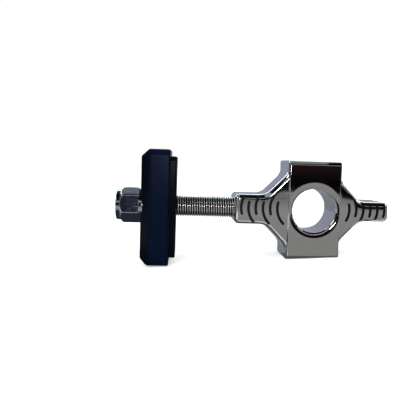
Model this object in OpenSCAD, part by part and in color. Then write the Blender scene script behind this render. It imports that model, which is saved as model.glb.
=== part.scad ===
// Chain adjuster for a motorcycle rear axle, in millimetres.
// X runs along the stud towards the tail, Y along the axle, Z is up.
// The origin is on the axle's axis, midway through the block's thickness.

/* [Axle block] */
// Width of the upright pad round the axle
pad_w = 24; // [23.4:0.1:27]
// Height of the upright pad
pad_h = 43.8; // [41:0.1:46]
// Thickness of the block across the pad
pad_t = 18.6; // [17:0.1:19]
// How far the wing and tail faces lie behind the pad's front face
face_drop = 0.6; // [0.4:0.05:0.9]
// How far their backs lie in from the pad's back face
back_drop = 0.15; // [0.1:0.05:0.4]
// From the axle's axis to the end of the wing that holds the stud
wing_l = 35.1; // [34:0.1:38]
// Height of the wing
wing_h = 13.2; // [12.4:0.1:15]
// From the axle's axis to the end of the tail
tail_l = 34; // [31:0.1:38]
// Height of the tail
tail_h = 8.8; // [7.8:0.1:11]
// From the axle's axis to where the sweeps leave the wing and the tail
sweep_x = 21.3; // [20.5:0.1:22.5]
// Radius of the hollow curves in each sweep
sweep_r = 6.5; // [5:0.1:7]
// Corner radius at the ends of the wing and the tail
end_corner_r = 2.2; // [1.8:0.1:3]
// Corner radius of the pad
pad_corner_r = 1.5; // [1.4:0.1:2.5]
// Radius of the polished rims
rim_r = 1; // [0.6:0.05:1.2]

/* [Axle bore] */
// Diameter of the bore for a 19.05 mm axle
bore_d = 19.2; // [19:0.05:19.4]
// Width of the soft roll-over round the bore's front rim
roll_w = 3.1; // [1:0.1:3.4]
// Depth of that roll-over
roll_depth = 1.05; // [0.6:0.05:1.2]
// Diameter of the recess behind the bore
recess_d = 21.4; // [20.4:0.1:21.8]
// Depth of the recess behind the bore
recess_depth = 3.5; // [2:0.1:4.5]

/* [Index grooves] */
// Spacing of the grooves, an eighth of an inch
groove_pitch = 3.175; // [3:0.025:3.3]
// Grooves on each side of the axle
groove_count = 6; // [4:1:6]
// Width of a groove
groove_w = 1; // [0.6:0.05:1.2]
// Depth of a groove
groove_depth = 0.4; // [0.2:0.05:0.6]
// From the axle's axis to the first groove on the wing
groove_wing_x = 16.4; // [15.6:0.1:17]
// From the axle's axis to the first groove on the tail
groove_tail_x = 15.8; // [15.4:0.1:16.6]
// Height of the middle of the grooves' arcs above the axle's axis
groove_z = 0.9; // [0:0.1:1.2]

/* [Stud] */
// Outside diameter of the stud's thread
stud_d = 9.525; // [9:0.025:9.9]
// How far the stud stands out of the block
stud_reach = 44.4; // [43:0.1:50]
// Depth of the thread
thread_depth = 0.6; // [0.3:0.05:0.65]
// Depth of the stud in the block
stud_seat = 16; // [12:0.1:20]
// Chamfer at both ends of the stud
stud_chamfer = 0.8; // [0.4:0.1:1.2]

/* [End plate] */
// Height of the plate
plate_h = 50; // [48:0.1:54]
// Width of the plate
plate_w = 25.4; // [24:0.1:28]
// Thickness of the plate's body
plate_t = 12.4; // [10:0.1:14]
// Corner radius of the plate seen from its end
plate_corner_r = 3; // [2.4:0.1:3.6]
// Width of the bevel round the front face
bevel_w = 3.25; // [2.6:0.05:3.6]
// Depth of the bevel round the front face
bevel_depth = 3.65; // [3:0.05:4.2]
// Radius that softens both edges of the bevel
bevel_edge_r = 1.6; // [0.8:0.1:2]
// Radius of the plate's back edges
back_edge_r = 0.8; // [0.4:0.1:1.2]
// Height of the plug that enters the frame tube
plug_h = 44.2; // [42:0.1:46]
// Width of the plug
plug_w = 18.8; // [17.6:0.1:21]
// Length of the plug
plug_t = 2.75; // [2:0.05:4]
// Corner radius of the plug
plug_corner_r = 2.4; // [1.6:0.1:3]
// Radius of the plug's end edges
plug_edge_r = 0.8; // [0.3:0.1:1]
// Diameter of the round pocket that the nut turns in
pocket_d = 20.4; // [19.4:0.1:21]
// Depth of the round pocket
pocket_depth = 1; // [0.6:0.1:2]
// Gap along the stud between the block and the plug
stud_gap = 25.4; // [25.1:0.1:26.4]

/* [Lock nut] */
// Size across the nut's flats
nut_af = 14.05; // [13.8:0.05:14.6]
// Height of the nut
nut_h = 12.1; // [11.4:0.1:13]
// Height of the round skirt under the hexagon
skirt_h = 2.2; // [1.6:0.1:2.8]
// Diameter of the round collar that holds the insert
collar_d = 13.5; // [13.2:0.1:13.7]
// Length of the round collar
collar_l = 1.8; // [1.4:0.1:2.2]
// Inside diameter of the collar's rolled lip
lip_d = 11.6; // [11.2:0.1:12]
// Length of the collar's rolled lip
lip_t = 0.7; // [0.5:0.1:1]
// Length of the nylon insert
insert_l = 2.6; // [2:0.1:3]
// Outside diameter of the nylon insert
insert_d = 12.1; // [12.1:0.1:12.4]
// How far the nut is turned on the stud
nut_angle = -8.4; // [-30:0.1:30]

/* [Fits] */
// Gap round the stud in the nut and in the block
thread_gap = 0.05; // [0.02:0.01:0.1]
// Gap round the stud in the plate's hole
hole_gap = 0.3; // [0.15:0.05:0.5]
// Gap between the nut's skirt and the floor of its pocket
seat_gap = 0.05; // [0.02:0.01:0.2]
// Gap round the nylon insert in the collar
insert_gap = 0.03; // [0.02:0.01:0.1]

/* [Hidden] */
$fn = 96;
eps = 0.01;
thread_pitch = 25.4 / 24;
half_t = pad_t / 2;
arm_front_y = -half_t + face_drop;
arm_back_y = half_t - back_drop;
// Where the wing and the tail end inside the pad, and how they lean in under its sides
root_x = 7;
root_lean = 0.3;
// Stations along the stud
block_end_x = -wing_l;
plug_end_x = block_end_x - stud_gap;
plate_back_x = plug_end_x - plug_t;
plate_front_x = plate_back_x - plate_t;
nut_seat_x = plate_front_x + pocket_depth - seat_gap;
stud_out_x = block_end_x - stud_reach;
stud_in_x = block_end_x + stud_seat;
// Radii
bore_r = bore_d / 2;
stud_r = stud_d / 2;
nut_corner_r = nut_af / 2 / cos(30);
skirt_r = nut_corner_r;
chamfer_run = 1.5;

// Outline maths: a corner is [x, z, radius], and corners run anticlockwise
function unit(v) = v / norm(v);
function edge_dir(c, i) = let (n = len(c), a = c[i], b = c[(i + 1) % n]) unit([b[0] - a[0], b[1] - a[1]]);
function left_of(v) = [-v[1], v[0]];
function cross2(a, b) = a[0] * b[1] - a[1] * b[0];
// The corner moved inwards by d, with its radius changed to suit
function inset_corner(c, i, d) =
    let (
        n = len(c),
        e1 = edge_dir(c, (i + n - 1) % n),
        e2 = edge_dir(c, i),
        n1 = left_of(e1),
        n2 = left_of(e2),
        p = [c[i][0], c[i][1]] + d * (n1 + n2) / (1 + n1 * n2),
        r = c[i][2] == 0 ? 0 : cross2(e1, e2) > 0 ? max(c[i][2] - d, 0.1) : c[i][2] + d
    )
    [p[0], p[1], r];
function inset(c, d) = [for (i = [0 : len(c) - 1]) inset_corner(c, i, d)];
// The arc that rounds one corner, as steps + 1 points
function corner_arc(c, i, steps) =
    let (
        n = len(c),
        e1 = edge_dir(c, (i + n - 1) % n),
        e2 = edge_dir(c, i),
        turn = atan2(cross2(e1, e2), e1 * e2),
        r = c[i][2],
        side = sign(turn),
        start = [c[i][0], c[i][1]] - e1 * r * tan(abs(turn) / 2),
        centre = start + side * r * left_of(e1),
        a0 = atan2(start[1] - centre[1], start[0] - centre[0])
    )
    [for (k = [0 : steps]) centre + r * [cos(a0 + turn * k / steps), sin(a0 + turn * k / steps)]];
function rounded(c, steps = 6) =
    [for (i = [0 : len(c) - 1]) each (c[i][2] == 0 ? [[c[i][0], c[i][1]]] : corner_arc(c, i, steps))];

// An extrusion of a drawn outline (X across, Y up the page) from y0 to y1 along Y
module along_y(y0, y1) translate([0, y1, 0]) rotate([90, 0, 0]) linear_extrude(y1 - y0) children();
// The same along X, with the outline's Y as the part's Y
module along_x(x0, x1) translate([x0, 0, 0]) rotate([0, 90, 0]) linear_extrude(x1 - x0) children();
// Profiles of [radius, station], turned about the stud's axis or about the axle's
module turned_x(profile) rotate([0, 90, 0]) rotate_extrude() polygon(profile);
module turned_y(profile) rotate([-90, 0, 0]) rotate_extrude() polygon(profile);
module rod_x(x0, x1, r) translate([x0, 0, 0]) rotate([0, 90, 0]) cylinder(h = x1 - x0, r = r);
module round_rect(size, r) {
    square([size[0] - 2 * r, size[1]], center = true);
    square([size[0], size[1] - 2 * r], center = true);
    for (sx = [-1, 1], sy = [-1, 1])
        translate([sx * (size[0] / 2 - r), sy * (size[1] / 2 - r)]) circle(r);
}

// A plate of the given corners from y0 to y1 with rims rounded to rim_r on both faces
rim_steps = 4;
module rimmed(corners, y0, y1) {
    quarter = [for (k = [0 : rim_steps]) 90 * k / rim_steps];
    layers = concat(
        [for (a = quarter) [y0 + rim_r * (1 - cos(a)), rim_r * (1 - sin(a))]],
        [for (k = [rim_steps : -1 : 0]) [y1 - rim_r * (1 - cos(quarter[k])), rim_r * (1 - sin(quarter[k]))]]
    );
    rings = [for (l = layers) [for (p = rounded(inset(corners, l[1]))) [p[0], l[0], p[1]]]];
    n = len(rings[0]);
    last = len(rings) - 1;
    walls = [for (j = [0 : last - 1], i = [0 : n - 1])
        [j * n + i, j * n + (i + 1) % n, (j + 1) * n + (i + 1) % n, (j + 1) * n + i]];
    strips = [for (i = [0 : n / 2 - 2]) [i, i + 1, n - 2 - i, n - 1 - i]];
    polyhedron(
        points = [for (ring = rings) each ring],
        faces = concat(walls, [for (s = strips) [s[3], s[2], s[1], s[0]]], [for (s = strips) s + last * n * [1, 1, 1, 1]])
    );
}

// Seen along the axle, the wing and the tail flare into the pad through hollow sweeps.
// Corners of an arm that points to -X, with its root buried in the pad
function arm_corners(length, half_h) =
    let (side = pad_w / 2 + 0.15, rise = sweep_x - side, root_z = half_h + rise + 4.8)
    [
        [-length, -half_h, end_corner_r],
        [-sweep_x, -half_h, sweep_r],
        [-side, -half_h - rise, sweep_r],
        [-side + root_lean, -root_z, 0],
        [-root_x, -root_z, 0],
        [-root_x, root_z, 0],
        [-side + root_lean, root_z, 0],
        [-side, half_h + rise, sweep_r],
        [-sweep_x, half_h, sweep_r],
        [-length, half_h, end_corner_r]
    ];
function flipped(c) = [for (i = [len(c) - 1 : -1 : 0]) [-c[i][0], c[i][1], c[i][2]]];

// The pad: an upright block with all its edges rounded
module pad() intersection() {
    along_y(-half_t, half_t) round_rect([pad_w, pad_h], pad_corner_r);
    along_x(-pad_w / 2, pad_w / 2) round_rect([pad_h, pad_t], rim_r);
    translate([0, 0, -pad_h / 2]) linear_extrude(pad_h) round_rect([pad_w, pad_t], rim_r);
}

// One groove on the tail: an arc of the axle's own radius between two heights, with round ends
module groove_outline(apex_x, z_low, z_high) {
    centre = [apex_x - bore_r, groove_z];
    low = asin((z_low - groove_z) / bore_r);
    high = asin((z_high - groove_z) / bore_r);
    half_w = groove_w / 2;
    function polar(c, r, a) = c + r * [cos(a), sin(a)];
    function sweep(c, r, a0, a1, n, skip) = [for (k = [skip : n - skip]) polar(c, r, a0 + (a1 - a0) * k / n)];
    polygon(concat(
        sweep(centre, bore_r + half_w, low, high, 10, 0),
        sweep(polar(centre, bore_r, high), half_w, high, high + 180, 6, 1),
        sweep(centre, bore_r - half_w, high, low, 10, 0),
        sweep(polar(centre, bore_r, low), half_w, low + 180, low + 360, 6, 1)
    ));
}

// Long and short grooves take turns: short ones run out over the top edge
module grooves(first_x, half_h, long_low) {
    short_low = -1.8;
    long_high = 3.3;
    for (i = [0 : groove_count - 1]) {
        x = first_x + i * groove_pitch;
        over_edge = min(half_h + max(0, sweep_x - x) + 1.2, groove_z + 0.93 * bore_r);
        if (i % 2 == 0) groove_outline(x, long_low, min(long_high, half_h - groove_w));
        else groove_outline(x, short_low, over_edge);
    }
}

// All that is cut out round the axle: the roll-over in front, the bore and the recess behind
module axle_bore() {
    roll_steps = 6;
    recess_r = recess_d / 2;
    turned_y(concat(
        [[0, -half_t - eps], [bore_r + roll_w, -half_t - eps]],
        [for (k = [0 : roll_steps]) let (a = 90 * k / roll_steps)
            [bore_r + roll_w * (1 - sin(a)), -half_t + roll_depth * (1 - cos(a))]],
        [[bore_r, half_t - recess_depth], [recess_r, half_t - recess_depth],
            [recess_r, half_t + eps], [0, half_t + eps]]
    ));
}

module axle_block() color("silver") difference() {
    union() {
        pad();
        rimmed(arm_corners(wing_l, wing_h / 2), arm_front_y, arm_back_y);
        rimmed(flipped(arm_corners(tail_l, tail_h / 2)), arm_front_y, arm_back_y);
    }
    axle_bore();
    rod_x(block_end_x - eps, stud_in_x + thread_gap, stud_r + thread_gap);
    along_y(arm_front_y - eps, arm_front_y + groove_depth) {
        mirror([1, 0]) grooves(groove_wing_x, wing_h / 2, -wing_h / 2 + 0.7);
        grooves(groove_tail_x, tail_h / 2, -tail_h / 2 + 0.5);
    }
}

// The stud is threaded all along, and a centre drill has dimpled its outer end.
// The thread is drawn as rings with flat crests and sharp roots
module adjuster_stud() color("darkgray") {
    dimple_r = 1.1;
    first_x = stud_out_x + stud_chamfer;
    last_x = stud_in_x - stud_chamfer;
    crest = thread_pitch / 8;
    turned_x(concat(
        [[0, stud_out_x + dimple_r], [dimple_r, stud_out_x], [stud_r - stud_chamfer, stud_out_x], [stud_r, first_x]],
        [for (k = [0 : floor((last_x - first_x) / thread_pitch) - 1]) let (x = first_x + k * thread_pitch) each [
            [stud_r, x + crest],
            [stud_r - thread_depth, x + (thread_pitch + crest) / 2],
            [stud_r, x + thread_pitch]
        ]],
        [[stud_r, last_x], [stud_r - stud_chamfer, stud_in_x], [0, stud_in_x]]
    ));
}

// The plate's section across one of its two widths: bevelled in front, softened behind
function plate_section(size) = rounded([
    [plate_front_x, -size / 2 + bevel_w, bevel_edge_r],
    [plate_front_x + bevel_depth, -size / 2, bevel_edge_r],
    [plate_back_x, -size / 2, back_edge_r],
    [plate_back_x, size / 2, back_edge_r],
    [plate_front_x + bevel_depth, size / 2, bevel_edge_r],
    [plate_front_x, size / 2 - bevel_w, bevel_edge_r]
]);
function plug_section(size) = rounded([
    [plate_back_x - 1, -size / 2, plug_edge_r / 2],
    [plug_end_x, -size / 2, plug_edge_r],
    [plug_end_x, size / 2, plug_edge_r],
    [plate_back_x - 1, size / 2, plug_edge_r / 2]
]);

// A block between two stations that is bounded by a rounded rectangle and by both sections
module sectioned(x0, x1, w, h, r, side_section, top_section) intersection() {
    along_x(x0, x1) round_rect([h, w], r);
    along_y(-w, w) polygon(side_section);
    translate([0, 0, -h]) linear_extrude(2 * h) polygon(top_section);
}

module end_plate() color([0.03, 0.05, 0.09]) difference() {
    union() {
        sectioned(plate_front_x, plate_back_x, plate_w, plate_h, plate_corner_r,
            plate_section(plate_h), plate_section(plate_w));
        sectioned(plate_back_x - 1, plug_end_x, plug_w, plug_h, plug_corner_r,
            plug_section(plug_h), plug_section(plug_w));
    }
    rod_x(plate_front_x - eps, plate_front_x + pocket_depth, pocket_d / 2);
    rod_x(plate_front_x, plug_end_x + eps, stud_r + hole_gap);
}

// Stations in the nut are heights above its seat, which faces the plate
module lock_nut() {
    flat_r = nut_af / 2;
    collar_r = collar_d / 2;
    hex_top = nut_h - collar_l;
    insert_floor = nut_h - lip_t - insert_l;
    edge = 0.3;
    bore = stud_r + thread_gap;
    pocket_r = insert_d / 2 + insert_gap;
    color("lightgray") translate([nut_seat_x, 0, 0]) rotate([nut_angle, 0, 0]) mirror([1, 0, 0]) difference() {
        union() {
            intersection() {
                along_x(skirt_h / 2, hex_top) circle(nut_corner_r, $fn = 6);
                turned_x([[0, 0], [nut_corner_r + 1, 0], [nut_corner_r + 1, hex_top - chamfer_run - 1],
                    [nut_corner_r + eps, hex_top - chamfer_run], [collar_r, hex_top + eps], [0, hex_top + eps]]);
            }
            turned_x([[0, 0], [skirt_r - edge, 0], [skirt_r, edge], [skirt_r, skirt_h],
                [flat_r - eps, skirt_h + chamfer_run], [0, skirt_h + chamfer_run]]);
            turned_x([[0, hex_top - 1], [collar_r, hex_top - 1], [collar_r, nut_h - edge],
                [collar_r - edge, nut_h], [0, nut_h]]);
        }
        rod_x(-eps, nut_h + eps, bore);
        turned_x([[0, -eps], [bore + edge + eps, -eps], [bore, edge], [0, edge]]);
        rod_x(nut_h - lip_t - eps, nut_h + eps, lip_d / 2);
        rod_x(insert_floor, nut_h - lip_t, pocket_r);
    }
}

module nylon_insert() {
    floor_h = nut_h - lip_t - insert_l;
    color("gainsboro") translate([nut_seat_x, 0, 0]) mirror([1, 0, 0])
        turned_x([[stud_r + thread_gap, floor_h + insert_gap], [insert_d / 2, floor_h + insert_gap],
            [insert_d / 2, nut_h - lip_t - insert_gap], [stud_r + thread_gap, nut_h - lip_t - insert_gap]]);
}

axle_block();
adjuster_stud();
end_plate();
lock_nut();
nylon_insert();
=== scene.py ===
import math

import bmesh
import bpy
from mathutils import Matrix, Vector


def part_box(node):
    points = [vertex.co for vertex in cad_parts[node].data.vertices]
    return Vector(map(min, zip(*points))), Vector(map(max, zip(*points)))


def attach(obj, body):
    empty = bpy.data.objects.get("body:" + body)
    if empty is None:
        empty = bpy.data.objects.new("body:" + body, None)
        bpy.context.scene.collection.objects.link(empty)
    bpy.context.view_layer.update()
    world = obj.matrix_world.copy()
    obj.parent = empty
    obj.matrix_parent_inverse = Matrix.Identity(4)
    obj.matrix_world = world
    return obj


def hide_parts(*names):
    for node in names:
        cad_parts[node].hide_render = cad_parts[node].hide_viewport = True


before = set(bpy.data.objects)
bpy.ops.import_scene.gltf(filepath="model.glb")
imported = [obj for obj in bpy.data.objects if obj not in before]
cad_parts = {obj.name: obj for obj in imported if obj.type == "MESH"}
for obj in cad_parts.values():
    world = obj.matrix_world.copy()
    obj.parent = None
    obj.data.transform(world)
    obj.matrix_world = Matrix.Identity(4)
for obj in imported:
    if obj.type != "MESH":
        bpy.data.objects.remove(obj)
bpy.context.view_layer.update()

# Axle block: one billet of stainless steel with the axle's bore, a wing that holds the stud and a tail.
# It is milled to its outline, its rims are rounded by hand on a wheel, and it is polished all over.
# The index grooves are cut with a small end mill and filled with black enamel.
MM = 0.001
PAD_W, PAD_H, PAD_T = 24.0, 43.8, 18.6
WING_L, WING_H = 35.1, 13.2
TAIL_L, TAIL_H = 34.0, 8.8
SWEEP_X, SWEEP_R, PAST_FLANK = 21.3, 6.5, 0.15
ROOT_X, ROOT_RISE, ROOT_LEAN = 7.0, 4.8, 0.3
END_CORNER_R, PAD_CORNER_R, PAD_SIDE_SHARE = 2.2, 1.5, 0.45
RIM_W, RIM_DEPTH = 2.2, 2.6
CROWN_X, CROWN_RUN, CROWN_Z, CROWN_R = 13, 10, -1, 86
ARM_FRONT_Y, ARM_BACK_Y = -8.7, 9.15
BORE_R, ROLL_W, ROLL_DEPTH = 9.6, 3.1, 1.05
RECESS_R, RECESS_DEPTH = 10.7, 3.5
STUD_R, STUD_HELD, THREAD_GAP = 4.7625, 16, 0.05
GROOVE_PITCH, GROOVE_COUNT, GROOVE_W, GROOVE_DEPTH, GROOVE_Z = 3.175, 6, 1.2, 0.4, 0.9
GROOVE_WING_X, GROOVE_TAIL_X = 16.4, 15.8
LOW_GROOVE_TOP, HIGH_GROOVE_FOOT, GROOVE_PAST_EDGE, GROOVE_REACH = 3.3, -1.8, 1.2, 0.93
PAST = 1


def linear(hex_colour):
    """An sRGB hex colour as linear RGBA."""
    parts = [int(hex_colour[i:i + 2], 16) / 255 for i in (0, 2, 4)]
    return [p / 12.92 if p <= 0.04045 else ((p + 0.055) / 1.055) ** 2.4 for p in parts] + [1.0]


def add(tree, kind, links=None, **settings):
    """A new node with its settings, and links from other sockets into its inputs."""
    node = tree.nodes.new(kind)
    for key, value in settings.items():
        if key in node.inputs:
            node.inputs[key].default_value = value
        else:
            setattr(node, key, value)
    for key, source in (links or {}).items():
        tree.links.new(source, node.inputs[key])
    return node


def material(name):
    """A new material with its tree, its shader and its output still bare."""
    made = bpy.data.materials.new(name)
    made.use_nodes = True
    tree = made.node_tree
    return made, tree, tree.nodes["Principled BSDF"]


# Polished stainless steel: mirror-bright, a little darker and warmer than silver. The wheel leaves
# hairlines about 0.05 mm apart that only soften the reflections; 0.25 mm is as fine as shows here.
polished_steel, tree, shader = material("polished_stainless_steel")
shader.inputs["Base Color"].default_value = linear("c9c8c6")
shader.inputs["Metallic"].default_value = 1.0
coords = add(tree, "ShaderNodeTexCoord")
wheel = add(tree, "ShaderNodeMapping", {"Vector": coords.outputs["Object"]}, Scale=(300, 1200, 4000))
hairline = add(tree, "ShaderNodeTexNoise", {"Vector": wheel.outputs["Vector"]}, Scale=1.0, Detail=3.0)
rough = add(tree, "ShaderNodeMapRange", {"Value": hairline.outputs["Fac"]},
            **{"To Min": 0.03, "To Max": 0.07})
tree.links.new(rough.outputs["Result"], shader.inputs["Roughness"])

# Black enamel in the grooves: thin and half-matt, so that they read as plain black lines.
groove_enamel, tree, shader = material("black_enamel_fill")
shader.inputs["Roughness"].default_value = 0.45
shader.inputs["Specular IOR Level"].default_value = 0.2
coords = add(tree, "ShaderNodeTexCoord")
grit = add(tree, "ShaderNodeTexNoise", {"Vector": coords.outputs["Object"]}, Scale=2500.0)
ink = add(tree, "ShaderNodeMix", {"Factor": grit.outputs["Fac"]}, data_type="RGBA")
ink.inputs["A"].default_value = linear("030304")
ink.inputs["B"].default_value = linear("08080a")
tree.links.new(ink.outputs["Result"], shader.inputs["Base Color"])


def arc_corners(corners, inset, steps):
    """An anticlockwise outline of (x, z, radius) corners, moved inwards and rounded."""
    points, moved = [], []
    count = len(corners)
    for i in range(count):
        before, here, after = (Vector(corners[k % count][:2]) for k in (i - 1, i, i + 1))
        coming, going = (here - before).normalized(), (after - here).normalized()
        inward, next_inward = Vector((-coming.y, coming.x)), Vector((-going.y, going.x))
        turn = math.atan2(coming.x * going.y - coming.y * going.x, coming.dot(going))
        radius = corners[i][2]
        if radius:
            radius = max(radius - inset, 0.1) if turn > 0 else radius + inset
        corner = here + inset * (inward + next_inward) / (1 + inward.dot(next_inward))
        moved.append((corner, coming, turn, radius))
    for corner, coming, turn, radius in moved:
        if not radius:
            points.append(corner)
            continue
        side = math.copysign(1, turn)
        start = corner - coming * radius * math.tan(abs(turn) / 2)
        centre = start + side * radius * Vector((-coming.y, coming.x))
        spoke = start - centre
        for k in range(steps + 1):
            points.append(centre + Matrix.Rotation(turn * k / steps, 2) @ spoke)
    return points


def rimmed(name, corners, y0, y1, arc_steps=18, crown=None, side_share=1.0):
    """A slab of that outline with soft rims on both faces. The rims down its sides are narrower by
    side_share, and crown(x, z) lets a polished front face fall back."""
    rim_steps, rows = 14, 10
    corners = [(x / side_share, z, r) for x, z, r in corners]
    quarter = [math.pi / 2 * k / rim_steps for k in range(rim_steps + 1)]
    front = [(y0 + RIM_DEPTH * (1 - math.cos(a)), RIM_W * (1 - math.sin(a))) for a in quarter]
    back = [(y1 - RIM_DEPTH * (1 - math.cos(a)), RIM_W * (1 - math.sin(a))) for a in reversed(quarter)]
    rings = [[(p.x * side_share, y, p.y) for p in arc_corners(corners, inset, arc_steps)]
             for y, inset in front + back]
    n = len(rings[0])
    faces = [[j * n + i, j * n + (i + 1) % n, (j + 1) * n + (i + 1) % n, (j + 1) * n + i]
             for j in range(len(rings) - 1) for i in range(n)]
    points = [p for ring in rings for p in ring]
    # The front face is a grid of strips from each lower point to the upper point over it
    columns = []
    for i in range(n // 2):
        low, high = Vector(rings[0][i]), Vector(rings[0][n - 1 - i])
        inner = range(1, rows) if 0 < i < n // 2 - 1 else ()
        columns.append([i] + [len(points) + k for k in range(len(inner))] + [n - 1 - i])
        points += [tuple(low.lerp(high, k / rows)) for k in inner]
    faces.append(columns[0] + columns[1][::-1])
    faces.append(columns[-2] + columns[-1][::-1])
    for left, right in zip(columns[1:-2], columns[2:-1]):
        faces += [[left[k], right[k], right[k + 1], left[k + 1]] for k in range(rows)]
    faces.append([(len(rings) - 1) * n + i for i in range(n)])
    if crown:
        middle = (y0 + y1) / 2
        points = [(x, y + crown(x, z) * (y < middle), z) for x, y, z in points]
    return solid(name, points, faces, polished_steel)


def solid(name, points, faces, finish):
    """A closed mesh from points in millimetres, with its faces turned outwards."""
    mesh = bpy.data.meshes.new(name)
    mesh.from_pydata([Vector(p) * MM for p in points], [], faces)
    closed = bmesh.new()
    closed.from_mesh(mesh)
    bmesh.ops.holes_fill(closed, edges=[edge for edge in closed.edges if edge.is_boundary], sides=0)
    bmesh.ops.recalc_face_normals(closed, faces=closed.faces)
    closed.to_mesh(mesh)
    closed.free()
    mesh.materials.append(finish)
    made = bpy.data.objects.new(name, mesh)
    bpy.context.scene.collection.objects.link(made)
    return made


def arm_corners(length, half_h):
    """The wing's outline: a straight arm that flares at 45 degrees into the pad and is rooted in it."""
    side = PAD_W / 2 + PAST_FLANK
    rise = SWEEP_X - side
    root_z = half_h + rise + ROOT_RISE
    lower = [(-length, -half_h, END_CORNER_R), (-SWEEP_X, -half_h, SWEEP_R),
             (-side, -half_h - rise, SWEEP_R), (-side + ROOT_LEAN, -root_z, 0), (-ROOT_X, -root_z, 0)]
    return lower + [(x, -z, r) for x, z, r in reversed(lower)]


def turned(name, profile, axis, finish, steps):
    """A body of revolution about X or Y through the origin, from (radius, station) pairs."""
    rings = []
    for radius, station in profile:
        ring = []
        for k in range(steps):
            a = 2 * math.pi * k / steps
            across, up = radius * math.cos(a), radius * math.sin(a)
            ring.append((station, across, up) if axis == "X" else (across, station, up))
        rings.append(ring)
    faces = [[j * steps + i, j * steps + (i + 1) % steps,
              (j + 1) * steps + (i + 1) % steps, (j + 1) * steps + i]
             for j in range(len(rings) - 1) for i in range(steps)]
    faces += [list(range(steps)), [(len(rings) - 1) * steps + i for i in range(steps)]]
    return solid(name, [p for ring in rings for p in ring], faces, finish)


def combine(target, tools, operation):
    """Joins tools to the target or cuts them out of it, one by one. A cut keeps its tool's material."""
    for tool in tools:
        step = target.modifiers.new("step", "BOOLEAN")
        step.operation = operation
        step.solver = "EXACT"
        step.material_mode = "TRANSFER"
        step.object = tool
        bpy.context.view_layer.update()
        depsgraph = bpy.context.evaluated_depsgraph_get()
        done = bpy.data.meshes.new_from_object(target.evaluated_get(depsgraph))
        target.modifiers.clear()
        target.data = done
        bpy.data.objects.remove(tool)


def smooth(target, degrees=32):
    """Smooth shading across soft edges, with the flats kept flat."""
    target.data.polygons.foreach_set("use_smooth", [True] * len(target.data.polygons))
    target.data.set_sharp_from_angle(angle=math.radians(degrees))
    weighted = target.modifiers.new("weighted", "WEIGHTED_NORMAL")
    weighted.keep_sharp = True


pad_corners = [(sx * PAD_W / 2, sz * PAD_H / 2, PAD_CORNER_R)
               for sx, sz in ((-1, -1), (1, -1), (1, 1), (-1, 1))]
axle_block = rimmed("polished_axle_block", pad_corners, -PAD_T / 2, PAD_T / 2, arc_steps=8,
                    side_share=PAD_SIDE_SHARE)
wing = rimmed("wing", arm_corners(WING_L, WING_H / 2), ARM_FRONT_Y, ARM_BACK_Y)


def tail_crown(x, z):
    """The wheel has crowned the tail's front: level at the pad, and more and more towards the end."""
    share = min(max((x - CROWN_X) / CROWN_RUN, 0), 1)
    return share * share * (3 - 2 * share) * (z - CROWN_Z) ** 2 / 2 / CROWN_R


tail_corners = [(-x, z, r) for x, z, r in reversed(arm_corners(TAIL_L, TAIL_H / 2))]
tail = rimmed("tail", tail_corners, ARM_FRONT_Y, ARM_BACK_Y, crown=tail_crown)
combine(axle_block, [wing, tail], "UNION")

half_t = PAD_T / 2
roll = [math.pi / 2 * k / 16 for k in range(16, -1, -1)]
bore_profile = [(RECESS_R, half_t + PAST), (RECESS_R, half_t - RECESS_DEPTH),
                (BORE_R, half_t - RECESS_DEPTH)]
bore_profile += [(BORE_R + ROLL_W * (1 - math.sin(a)), -half_t + ROLL_DEPTH * (1 - math.cos(a)))
                 for a in roll]
bore_profile += [(BORE_R + ROLL_W, -half_t - PAST)]
stud_in_x = -WING_L + STUD_HELD
hole_profile = [(STUD_R + THREAD_GAP, -WING_L - PAST), (STUD_R + THREAD_GAP, stud_in_x + THREAD_GAP)]
combine(axle_block, [turned("bore", bore_profile, "Y", polished_steel, steps=160),
                     turned("tapped_hole", hole_profile, "X", polished_steel, steps=48)], "DIFFERENCE")


def groove(apex_x, z_low, z_high, side):
    """The cutter's path for one groove: an arc of the axle's own radius with round ends."""
    def polar(x, z, radius, angle):
        return x + radius * math.cos(angle), z + radius * math.sin(angle)
    centre_x, half_w = apex_x - BORE_R, GROOVE_W / 2
    arc_steps, end_steps = 14, 10
    low, high = (math.asin((z - GROOVE_Z) / BORE_R) for z in (z_low, z_high))
    ends = [polar(centre_x, GROOVE_Z, BORE_R, a) for a in (high, low)]
    path = [polar(centre_x, GROOVE_Z, BORE_R + half_w, low + (high - low) * k / arc_steps)
            for k in range(arc_steps + 1)]
    path += [polar(*ends[0], half_w, high + math.pi * k / end_steps) for k in range(1, end_steps)]
    path += [polar(centre_x, GROOVE_Z, BORE_R - half_w, high + (low - high) * k / arc_steps)
             for k in range(arc_steps + 1)]
    path += [polar(*ends[1], half_w, low + math.pi + math.pi * k / end_steps) for k in range(1, end_steps)]
    n = len(path)
    points = [(side * x, y, z) for y in (ARM_FRONT_Y - PAST, ARM_FRONT_Y + GROOVE_DEPTH) for x, z in path]
    faces = [[i, (i + 1) % n, n + (i + 1) % n, n + i] for i in range(n)]
    return solid("groove", points, faces + [list(range(n)), list(range(n, 2 * n))], groove_enamel)


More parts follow.
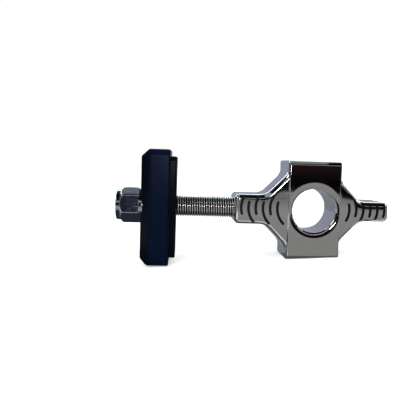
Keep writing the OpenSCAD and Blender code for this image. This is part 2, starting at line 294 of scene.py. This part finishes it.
# Low grooves stand near the arm's lower edge, and between them high ones run out over its upper edge
for side, first_x, half_h, foot in ((-1, GROOVE_WING_X, WING_H / 2, 0.7),
                                    (1, GROOVE_TAIL_X, TAIL_H / 2, 0.5)):
    for i in range(GROOVE_COUNT):
        x = first_x + i * GROOVE_PITCH
        z_low = -half_h + foot
        z_high = min(LOW_GROOVE_TOP, half_h - GROOVE_W)
        if i % 2:
            z_low = HIGH_GROOVE_FOOT
            z_high = min(half_h + max(0, SWEEP_X - x) + GROOVE_PAST_EDGE, GROOVE_Z + GROOVE_REACH * BORE_R)
        combine(axle_block, [groove(x, z_low, z_high, side)], "DIFFERENCE")
smooth(axle_block)
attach(axle_block, "block")
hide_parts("axle_block")

# Stud: threaded rod of bright zinc-plated steel, 3/8 inch with 24 threads an inch, screwed and locked
# into the wing. Its thread is rolled, so the crests are round-edged and bright, and painted shade darkens
# the roots.
PITCH, THREAD_DEPTH = 25.4 / 24, 0.62
STUD_OUT_X, STUD_CHAMFER, DIMPLE_R = -79.5, 0.8, 1.1
stud_steel, tree, shader = material("rolled_thread_steel")
shader.inputs["Metallic"].default_value = 1.0
coords = add(tree, "ShaderNodeTexCoord")
die_marks = add(tree, "ShaderNodeTexNoise", {"Vector": coords.outputs["Object"]}, Scale=1800.0, Detail=2.0)
rough = add(tree, "ShaderNodeMapRange", {"Value": die_marks.outputs["Fac"]},
            **{"To Min": 0.06, "To Max": 0.12})
tree.links.new(rough.outputs["Result"], shader.inputs["Roughness"])
# Painted shade in the thread's roots: the colour darkens towards the stud's axis, following the distance
# from it
place = add(tree, "ShaderNodeSeparateXYZ", {"Vector": coords.outputs["Object"]})
spoke = add(tree, "ShaderNodeCombineXYZ", {"Y": place.outputs["Y"], "Z": place.outputs["Z"]})
from_axis = add(tree, "ShaderNodeVectorMath", {0: spoke.outputs["Vector"]}, operation="LENGTH")
clear_of_root_shade = add(tree, "ShaderNodeMapRange", {"Value": from_axis.outputs["Value"]},
            interpolation_type="SMOOTHSTEP",
            **{"From Min": (STUD_R - 0.50) * MM, "From Max": (STUD_R - 0.05) * MM})
tint = add(tree, "ShaderNodeMix", {"Factor": clear_of_root_shade.outputs["Result"]}, data_type="RGBA")
tint.inputs["A"].default_value = linear("4c4a49")
tint.inputs["B"].default_value = linear("dcdad8")
tree.links.new(tint.outputs["Result"], shader.inputs["Base Color"])

# Heights across one thread, as fractions of the pitch and of the thread's depth
THREAD = [(0.0, 1.0), (0.26, 1.0), (0.34, 0.84), (0.54, 0.08),
          (0.60, 0.0), (0.66, 0.0), (0.72, 0.08), (0.92, 0.84)]
AROUND = 96
first_turn, last_turn = int(STUD_OUT_X / PITCH) - 3, int(stud_in_x / PITCH) + 2
points = []
for turn in range(first_turn, last_turn):
    for along, height in THREAD:
        for k in range(AROUND):
            a, r = 2 * math.pi * k / AROUND, STUD_R - THREAD_DEPTH * (1 - height)
            points.append(((turn + along + k / AROUND) * PITCH, r * math.cos(a), r * math.sin(a)))
rows, one_turn = len(points) // AROUND, len(THREAD)
faces = [[j * AROUND + k, (j + 1) * AROUND + k, (j + 1) * AROUND + k + 1, j * AROUND + k + 1]
         for j in range(rows - 1) for k in range(AROUND - 1)]
# The last column of a turn meets the first column of the next turn
faces += [[(j + 1) * AROUND - 1, (j + 2) * AROUND - 1,
           (j + 1 + one_turn) * AROUND, (j + one_turn) * AROUND]
          for j in range(rows - 1 - one_turn)]
threaded_stud = solid("threaded_stud", points, faces, stud_steel)
# The bar is cut to length, chamfered at both ends and centre-drilled at the outer one
spare = 0.5
end_profile = [(0.02, STUD_OUT_X + DIMPLE_R), (DIMPLE_R, STUD_OUT_X),
               (STUD_R - STUD_CHAMFER, STUD_OUT_X),
               (STUD_R + spare, STUD_OUT_X + STUD_CHAMFER + spare),
               (STUD_R + spare, stud_in_x - STUD_CHAMFER - spare),
               (STUD_R - STUD_CHAMFER, stud_in_x)]
combine(threaded_stud, [turned("cut_bar", end_profile, "X", stud_steel, AROUND)], "INTERSECT")
smooth(threaded_stud, 50)
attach(threaded_stud, "block")
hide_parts("adjuster_stud")

# End plate: milled from aluminium bar, with a wide bevel round its face and a plug behind that enters
# the tube. It is anodised deep blue-black, and its face is left bare as a brushed panel.
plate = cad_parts["end_plate"]
face_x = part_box("end_plate")[0][0]
PLUG_X, PLUG_FADE = -63.3, 1.2
BEVEL_FROM, BEVEL_TO = 2.4, 5.6
# Anodised aluminium: the dye gives a deep blue under a thin clear skin, so its gloss is soft and faint
anodised, tree, shader = material("blue_black_anodised_aluminium")
shader.inputs["Roughness"].default_value = 0.22
shader.inputs["Specular IOR Level"].default_value = 0.04
coords = add(tree, "ShaderNodeTexCoord")
place = add(tree, "ShaderNodeSeparateXYZ", {"Vector": coords.outputs["Object"]})
# The bar was drawn, which leaves faint upright streaks 0.4 mm wide
drawn_marks = add(tree, "ShaderNodeMapping", {"Vector": coords.outputs["Object"]}, Scale=(2500, 2500, 60))
streak = add(tree, "ShaderNodeTexNoise", {"Vector": drawn_marks.outputs["Vector"]}, Scale=1.0, Detail=2.0)
dye = add(tree, "ShaderNodeMix", {"Factor": streak.outputs["Fac"]}, data_type="RGBA")
dye.inputs["A"].default_value = linear("020715")
dye.inputs["B"].default_value = linear("050f26")
# Painted shade: the machined bevel and the plug are coloured darker than the bar's drawn sides
bevel = add(tree, "ShaderNodeMapRange", {"Value": place.outputs["X"]}, interpolation_type="SMOOTHSTEP",
            **{"From Min": face_x + BEVEL_FROM * MM, "From Max": face_x + BEVEL_TO * MM})
plug = add(tree, "ShaderNodeMapRange", {"Value": place.outputs["X"]},
           **{"From Min": PLUG_X * MM, "From Max": (PLUG_X - PLUG_FADE) * MM})
drawn = add(tree, "ShaderNodeMath", {0: bevel.outputs["Result"], 1: plug.outputs["Result"]},
            operation="MULTIPLY")
shade = add(tree, "ShaderNodeMix", {"Factor": drawn.outputs[0], "B": dye.outputs["Result"]},
            data_type="RGBA")
# The colour of the painted shade on the bevel and the plug
shade.inputs["A"].default_value = linear("03060f")
# The bare panel covers the flat face up to the bevel, brushed in rings 0.35 mm apart about the stud
on_face = add(tree, "ShaderNodeMath", {0: place.outputs["X"]}, operation="LESS_THAN")
on_face.inputs[1].default_value = face_x + 0.02 * MM
arc_grain = add(tree, "ShaderNodeTexWave", {"Vector": coords.outputs["Object"]}, wave_type="RINGS",
                Scale=900.0, Distortion=2.0)
bare = add(tree, "ShaderNodeMix", {"Factor": arc_grain.outputs["Fac"]}, data_type="RGBA")
bare.inputs["A"].default_value = linear("8f8ea0")
bare.inputs["B"].default_value = linear("b4b3c4")
skin = add(tree, "ShaderNodeMix", {"Factor": on_face.outputs[0], "A": shade.outputs["Result"],
                                   "B": bare.outputs["Result"]}, data_type="RGBA")
tree.links.new(skin.outputs["Result"], shader.inputs["Base Color"])
tree.links.new(on_face.outputs[0], shader.inputs["Metallic"])
plate.data.materials.clear()
plate.data.materials.append(anodised)

# Lock nut: self-locking nut of plated steel, with a round skirt that bears on the plate and a collar
# rolled over a nylon ring. The plating is bright, and handling has left it faintly mottled.
plated, tree, shader = material("bright_nickel_plated_steel")
shader.inputs["Base Color"].default_value = linear("b7bac0")
shader.inputs["Metallic"].default_value = 1.0
coords = add(tree, "ShaderNodeTexCoord")
handling = add(tree, "ShaderNodeTexNoise", {"Vector": coords.outputs["Object"]}, Scale=900.0, Detail=5.0)
rough = add(tree, "ShaderNodeMapRange", {"Value": handling.outputs["Fac"]},
            **{"To Min": 0.05, "To Max": 0.13})
tree.links.new(rough.outputs["Result"], shader.inputs["Roughness"])
dimples = add(tree, "ShaderNodeBump", {"Height": handling.outputs["Fac"]}, Strength=0.12, Distance=0.0003)
tree.links.new(dimples.outputs["Normal"], shader.inputs["Normal"])

NUT_SEAT_X, NUT_TURN = -74.7, math.radians(-8.4)
NUT_AF, NUT_H, SKIRT_H, SKIRT_R, CHAMFER_RUN = 14.05, 12.1, 2.2, 8.0, 1.3
COLLAR_R, COLLAR_L, LIP_R, LIP_T = 6.75, 1.8, 5.8, 0.7
POCKET_R, POCKET_FLOOR, NUT_BORE_R, EDGE = 6.08, 8.8, 4.8125, 0.35
CORNER_POWER, CHAMFER_BLEND, LIP_EDGE = 44, 0.06, 0.15
HEX_TOP = NUT_H - COLLAR_L


def softly(values, reach):
    """The least of some radii, with their crossings rounded over the reach."""
    return -reach * math.log(sum(math.exp(-v / reach) for v in values))


def outer_radius(height, angle):
    """The nut's outside: a hexagon with worn corners, chamfered above, between a skirt and a collar."""
    if height > HEX_TOP:
        return COLLAR_R
    if height < SKIRT_H:
        return SKIRT_R - max(0.0, EDGE - height)
    corner = NUT_AF / 2 / math.cos(math.pi / 6)
    sides = sum(abs(math.cos(angle - k * math.pi / 3)) ** CORNER_POWER for k in range(3))
    flats = sides ** (-1 / CORNER_POWER) * NUT_AF / 2
    top_cone = COLLAR_R + 0.02 + (HEX_TOP - height) / CHAMFER_RUN * (corner - COLLAR_R)
    return softly([flats, top_cone], CHAMFER_BLEND)


AROUND_NUT = 180
HEIGHT_FROM, HEIGHT_STEP = 0.36, 0.16
# Rings lie close over the bevel at the seat, then evenly up the hexagon, then past the step to the collar
heights = [0.0, 0.12, 0.24, 0.34]
heights += [HEIGHT_FROM + HEIGHT_STEP * k for k in range(int((HEX_TOP - HEIGHT_FROM) / HEIGHT_STEP) + 1)]
heights += [HEX_TOP + 0.01]
inside = [(COLLAR_R - EDGE * (1 - math.cos(a)), NUT_H - EDGE * (1 - math.sin(a)))
          for a in (math.pi / 2 * k / 5 for k in range(6))]
inside += [(LIP_R + LIP_EDGE, NUT_H), (LIP_R, NUT_H - LIP_EDGE), (LIP_R, NUT_H - LIP_T),
           (POCKET_R, NUT_H - LIP_T), (POCKET_R, POCKET_FLOOR), (NUT_BORE_R, POCKET_FLOOR),
           (NUT_BORE_R, EDGE), (NUT_BORE_R + EDGE, 0.0)]
points = []
for h in heights + [station for radius, station in inside]:
    i = len(points) // AROUND_NUT - len(heights)
    for k in range(AROUND_NUT):
        a = 2 * math.pi * k / AROUND_NUT
        r = outer_radius(h, a) if i < 0 else inside[i][0]
        points.append((NUT_SEAT_X - h, r * math.cos(a + NUT_TURN), r * math.sin(a + NUT_TURN)))
rows = len(points) // AROUND_NUT
faces = [[j * AROUND_NUT + k, j * AROUND_NUT + (k + 1) % AROUND_NUT,
          (j + 1) % rows * AROUND_NUT + (k + 1) % AROUND_NUT, (j + 1) % rows * AROUND_NUT + k]
         for j in range(rows) for k in range(AROUND_NUT)]
self_locking_nut = solid("self_locking_nut", points, faces, plated)
smooth(self_locking_nut, 40)
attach(self_locking_nut, "nut")
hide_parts("lock_nut")

# Nylon ring: natural nylon, moulded, waxy and slightly see-through, pressed into the collar.
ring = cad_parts["nylon_insert"]
nylon, tree, shader = material("natural_nylon")
shader.inputs["Roughness"].default_value = 0.5
shader.inputs["Subsurface Weight"].default_value = 0.2
shader.inputs["Subsurface Radius"].default_value = (0.001, 0.001, 0.001)
coords = add(tree, "ShaderNodeTexCoord")
cloud = add(tree, "ShaderNodeTexNoise", {"Vector": coords.outputs["Object"]}, Scale=500.0)
milk = add(tree, "ShaderNodeMix", {"Factor": cloud.outputs["Fac"]}, data_type="RGBA")
milk.inputs["A"].default_value = linear("cfcfcc")
milk.inputs["B"].default_value = linear("deded9")
tree.links.new(milk.outputs["Result"], shader.inputs["Base Color"])
ring.data.materials.clear()
ring.data.materials.append(nylon)

# Studio: a pale floor that the plate's lower edge and the pad's lower edge both touch, a white
# surround, and cards all round the object that neither the camera nor the floor sees, only gloss.
PLATE_H = 50.0
FLOOR_TILT = math.atan2(PLATE_H / 2 - PAD_H / 2, -PLUG_X - PAD_W / 2)
FLOOR_X, FLOOR_Z = -0.0633, -0.02505
floor_mesh = bpy.data.meshes.new("studio_floor")
floor_mesh.from_pydata([(-3, -3, 0), (3, -3, 0), (3, 3, 0), (-3, 3, 0)], [], [(0, 1, 2, 3)])
floor = bpy.data.objects.new("studio_floor", floor_mesh)
bpy.context.scene.collection.objects.link(floor)
floor.matrix_world = Matrix.Translation((FLOOR_X, 0, FLOOR_Z)) @ Matrix.Rotation(-FLOOR_TILT, 4, "Y")
pale, tree, shader = material("pale_studio_floor")
shader.inputs["Base Color"].default_value = linear("f4f4f4")
shader.inputs["Roughness"].default_value = 0.9
# It glows a little to the camera and in mirrored rays, so that it fades into the white surround
path = add(tree, "ShaderNodeLightPath")
seen = add(tree, "ShaderNodeMath", {0: path.outputs["Is Camera Ray"], 1: path.outputs["Is Glossy Ray"]},
           operation="MAXIMUM")
lift = add(tree, "ShaderNodeMath", {0: seen.outputs[0]}, operation="MULTIPLY")
lift.inputs[1].default_value = 0.35
shader.inputs["Emission Color"].default_value = (1, 1, 1, 1)
tree.links.new(lift.outputs[0], shader.inputs["Emission Strength"])
floor_mesh.materials.append(pale)


def card(name, place, width, height, near, far, strength=1.0):
    """A studio card, coloured from its lower edge to its upper, that only mirrored rays see."""
    mesh = bpy.data.meshes.new(name)
    w, h = width / 2, height / 2
    mesh.from_pydata([(-w, -h, 0), (w, -h, 0), (w, h, 0), (-w, h, 0)], [], [(0, 1, 2, 3)])
    made = bpy.data.objects.new(name, mesh)
    bpy.context.scene.collection.objects.link(made)
    made.matrix_world = place
    paper, tree, shader = material(name)
    coords = add(tree, "ShaderNodeTexCoord")
    spot = add(tree, "ShaderNodeSeparateXYZ", {"Vector": coords.outputs["Generated"]})
    tint = add(tree, "ShaderNodeMix", {"Factor": spot.outputs["Y"]}, data_type="RGBA")
    tint.inputs["A"].default_value = linear(near)
    tint.inputs["B"].default_value = linear(far)
    glow = add(tree, "ShaderNodeEmission", {"Color": tint.outputs["Result"]}, Strength=strength)
    tree.links.new(glow.outputs["Emission"], tree.nodes["Material Output"].inputs["Surface"])
    mesh.materials.append(paper)
    made.visible_camera = made.visible_diffuse = False
    made.visible_shadow = made.visible_transmission = False


def on_floor(name, y0, y1, near, far, x0=-1.5, x1=1.5, lift=0.0004, spin=0.0):
    """A card on the studio floor from y0 to y1, in metres from the bore's axis, turned about it."""
    about = Matrix.Translation((-FLOOR_X, 0, lift)) @ Matrix.Rotation(math.radians(spin), 4, "Z")
    middle = Matrix.Translation(((x0 + x1) / 2, (y0 + y1) / 2, 0))
    card(name, floor.matrix_world @ about @ middle, x1 - x0, y1 - y0, near, far)


def hung(name, azimuth, elevation, distance, width, height, near, far, strength=1.0):
    """A card that faces the object from a direction: azimuth 0 is the camera's side, 90 is +X."""
    a, e = math.radians(azimuth), math.radians(elevation)
    away = Vector((math.sin(a) * math.cos(e), -math.cos(a) * math.cos(e), math.sin(e)))
    upright = (-away).to_track_quat("Z", "Y").to_matrix().to_4x4()
    card(name, Matrix.Translation(away * distance) @ upright, width, height, near, far, strength)


# The floor as the metal sees it: dark beyond a slanted edge in front, grey nearer, lavender behind
on_floor("floor_front_far", -0.90, -0.295, "acaca8", "b2b2ac")
on_floor("floor_front_grey", -0.90, -0.295, "7c7c7e", "86868a", -0.6, 0.072, 0.0007)
on_floor("floor_front_dark", -0.95, -0.266, "030308", "030308", lift=0.0010, spin=55.3)
on_floor("floor_front_line", -0.295, -0.275, "6c6d70", "6c6d70")
on_floor("floor_front_shade", -0.275, -0.17, "84858a", "a4a4a4")
on_floor("floor_front", -0.17, -0.012, "a4a4a4", "9c9c9c")
# Painted shadow: a darker strip of floor under the object, where it shades the floor, as the metal mirrors
# it
on_floor("floor_painted_shadow_under", -0.012, 0.004, "60636a", "60636a")
on_floor("floor_back", 0.004, 0.75, "8a8f98", "9ea2b0")
on_floor("floor_gleam_right", -0.60, -0.03, "ffffff", "ffffff", 0.012, 0.018, 0.0012, 56)
on_floor("floor_gleam_left", -0.60, -0.02, "ffffff", "ffffff", -0.004, 0.004, 0.0012, -52)
on_floor("floor_white_left", -0.20, 0.0, "ffffff", "ffffff", -0.34, -0.13, 0.0012)
# Painted shadow of the plate on the floor beside the nut, as the metal mirrors it
on_floor("floor_painted_shadow_by_nut", -0.035, 0.03, "30343f", "363a48", -0.105, -0.066, 0.0008)
# Round the object: a dark room behind the camera, a lavender wall behind, a grey-teal ceiling
hung("room_front", 0, 12, 0.70, 3.0, 0.38, "030310", "060407")
hung("room_front_high", 0, 34, 0.72, 3.0, 0.28, "050407", "050407")
hung("room_front_brown", 22, 1.6, 0.64, 0.5, 0.06, "04030a", "33211f")
hung("room_front_left", -14, 11, 0.66, 0.36, 0.26, "22223c", "16162a")
hung("ceiling_front", 0, 68, 0.70, 3.0, 0.60, "07080c", "0a0c10")
hung("ceiling_back", 180, 67, 0.78, 3.0, 0.66, "74828e", "0c0e14")
hung("wall_back", 180, 12, 0.76, 3.0, 0.60, "a2a8ba", "a2a8b8")
hung("light_front", 0, 26, 0.60, 2.0, 0.110, "b4aca8", "b4aca8", 1.2)
hung("light_back", 180, 38, 0.60, 2.0, 0.11, "e8f4f4", "e8f4f4", 5.0)
hung("softbox_right_card", 82, 34, 0.60, 0.22, 0.14, "ffffff", "ffffff", 3.0)
hung("softbox_left_card", -68, 32, 0.60, 0.30, 0.20, "ffffff", "ffffff", 3.0)
hung("side_left_white", -68, -2, 0.62, 0.14, 0.30, "b4b4ba", "b4b4ba")
hung("side_left", -100, 4, 0.66, 0.56, 0.4, "14161e", "14161e")
hung("side_right", 100, 4, 0.66, 0.56, 0.4, "60646e", "60646e")
# Small hoods close over the pad and over the stud, which only their upper edges see
card("hood_over_pad", Matrix.Translation((0.0025, -0.005, 0.052)), 0.029, 0.050, "8a979c", "8a979c")
card("hood_over_stud", Matrix.Translation((-0.052, -0.045, 0.095)), 0.042, 0.13, "b4c0c2", "b4c0c2")
# What stands above and behind the camera shows as the bright line along the stud
upright = Matrix.Rotation(math.pi / 2, 4, "X")
card("bright_behind_camera", Matrix.Translation((-0.045, -0.36, 0.060)) @ upright, 0.060, 0.100,
     "ffffff", "ffffff", 17.0)
# A small dark card in front of the bore keeps its right edge from mirroring all of that
card("shade_by_bore", Matrix.Translation((0.0084, -0.020, -0.0014)) @ upright, 0.005, 0.005,
     "0c0c10", "0c0c10")

world = bpy.data.worlds.new("white_surround")
bpy.context.scene.world = world
world.use_nodes = True
world.node_tree.nodes["Background"].inputs["Color"].default_value = (1, 1, 1, 1)
world.node_tree.nodes["Background"].inputs["Strength"].default_value = 1.0

# Two softboxes light the object and soften its shadow, while the metal sees the cards in their place
for name, place, power in (("softbox_left", (-0.5, -0.5, 0.7), 4.0),
                           ("softbox_right", (0.6, -0.4, 0.6), 3.0)):
    lamp = bpy.data.lights.new(name, "AREA")
    lamp.size = 0.5
    lamp.energy = power
    holder = bpy.data.objects.new(name, lamp)
    bpy.context.scene.collection.objects.link(holder)
    facing = Vector(place).to_track_quat("Z", "Y").to_matrix().to_4x4()
    holder.matrix_world = Matrix.Translation(place) @ facing
    holder.visible_glossy = False

# Camera: a phone's lens about 19 cm in front of the object and a little above it, between the plate
# and the bore, with the frame's small vertical shift.
YAW, PITCH_DOWN, ROLL = (math.radians(a) for a in (-3.445, -2.813, -1.766))
FOCAL_PX, FRAME_PX, CENTRE_PY = 411.557, 416, 182.263
lens = bpy.data.cameras.new("phone_camera")
lens.sensor_width = 36.0
lens.lens = FOCAL_PX / FRAME_PX * lens.sensor_width
lens.shift_y = (CENTRE_PY - FRAME_PX / 2) / FRAME_PX
lens.clip_start = 0.01
camera = bpy.data.objects.new("phone_camera", lens)
bpy.context.scene.collection.objects.link(camera)
turn = Matrix.Rotation(YAW, 4, "Z") @ Matrix.Rotation(PITCH_DOWN, 4, "X") @ Matrix.Rotation(ROLL, 4, "Y")
camera.matrix_world = Matrix.Translation((-0.057692, -0.185501, 0.020054)) @ turn @ upright
bpy.context.scene.camera = camera
bpy.context.scene.view_settings.view_transform = "Standard"
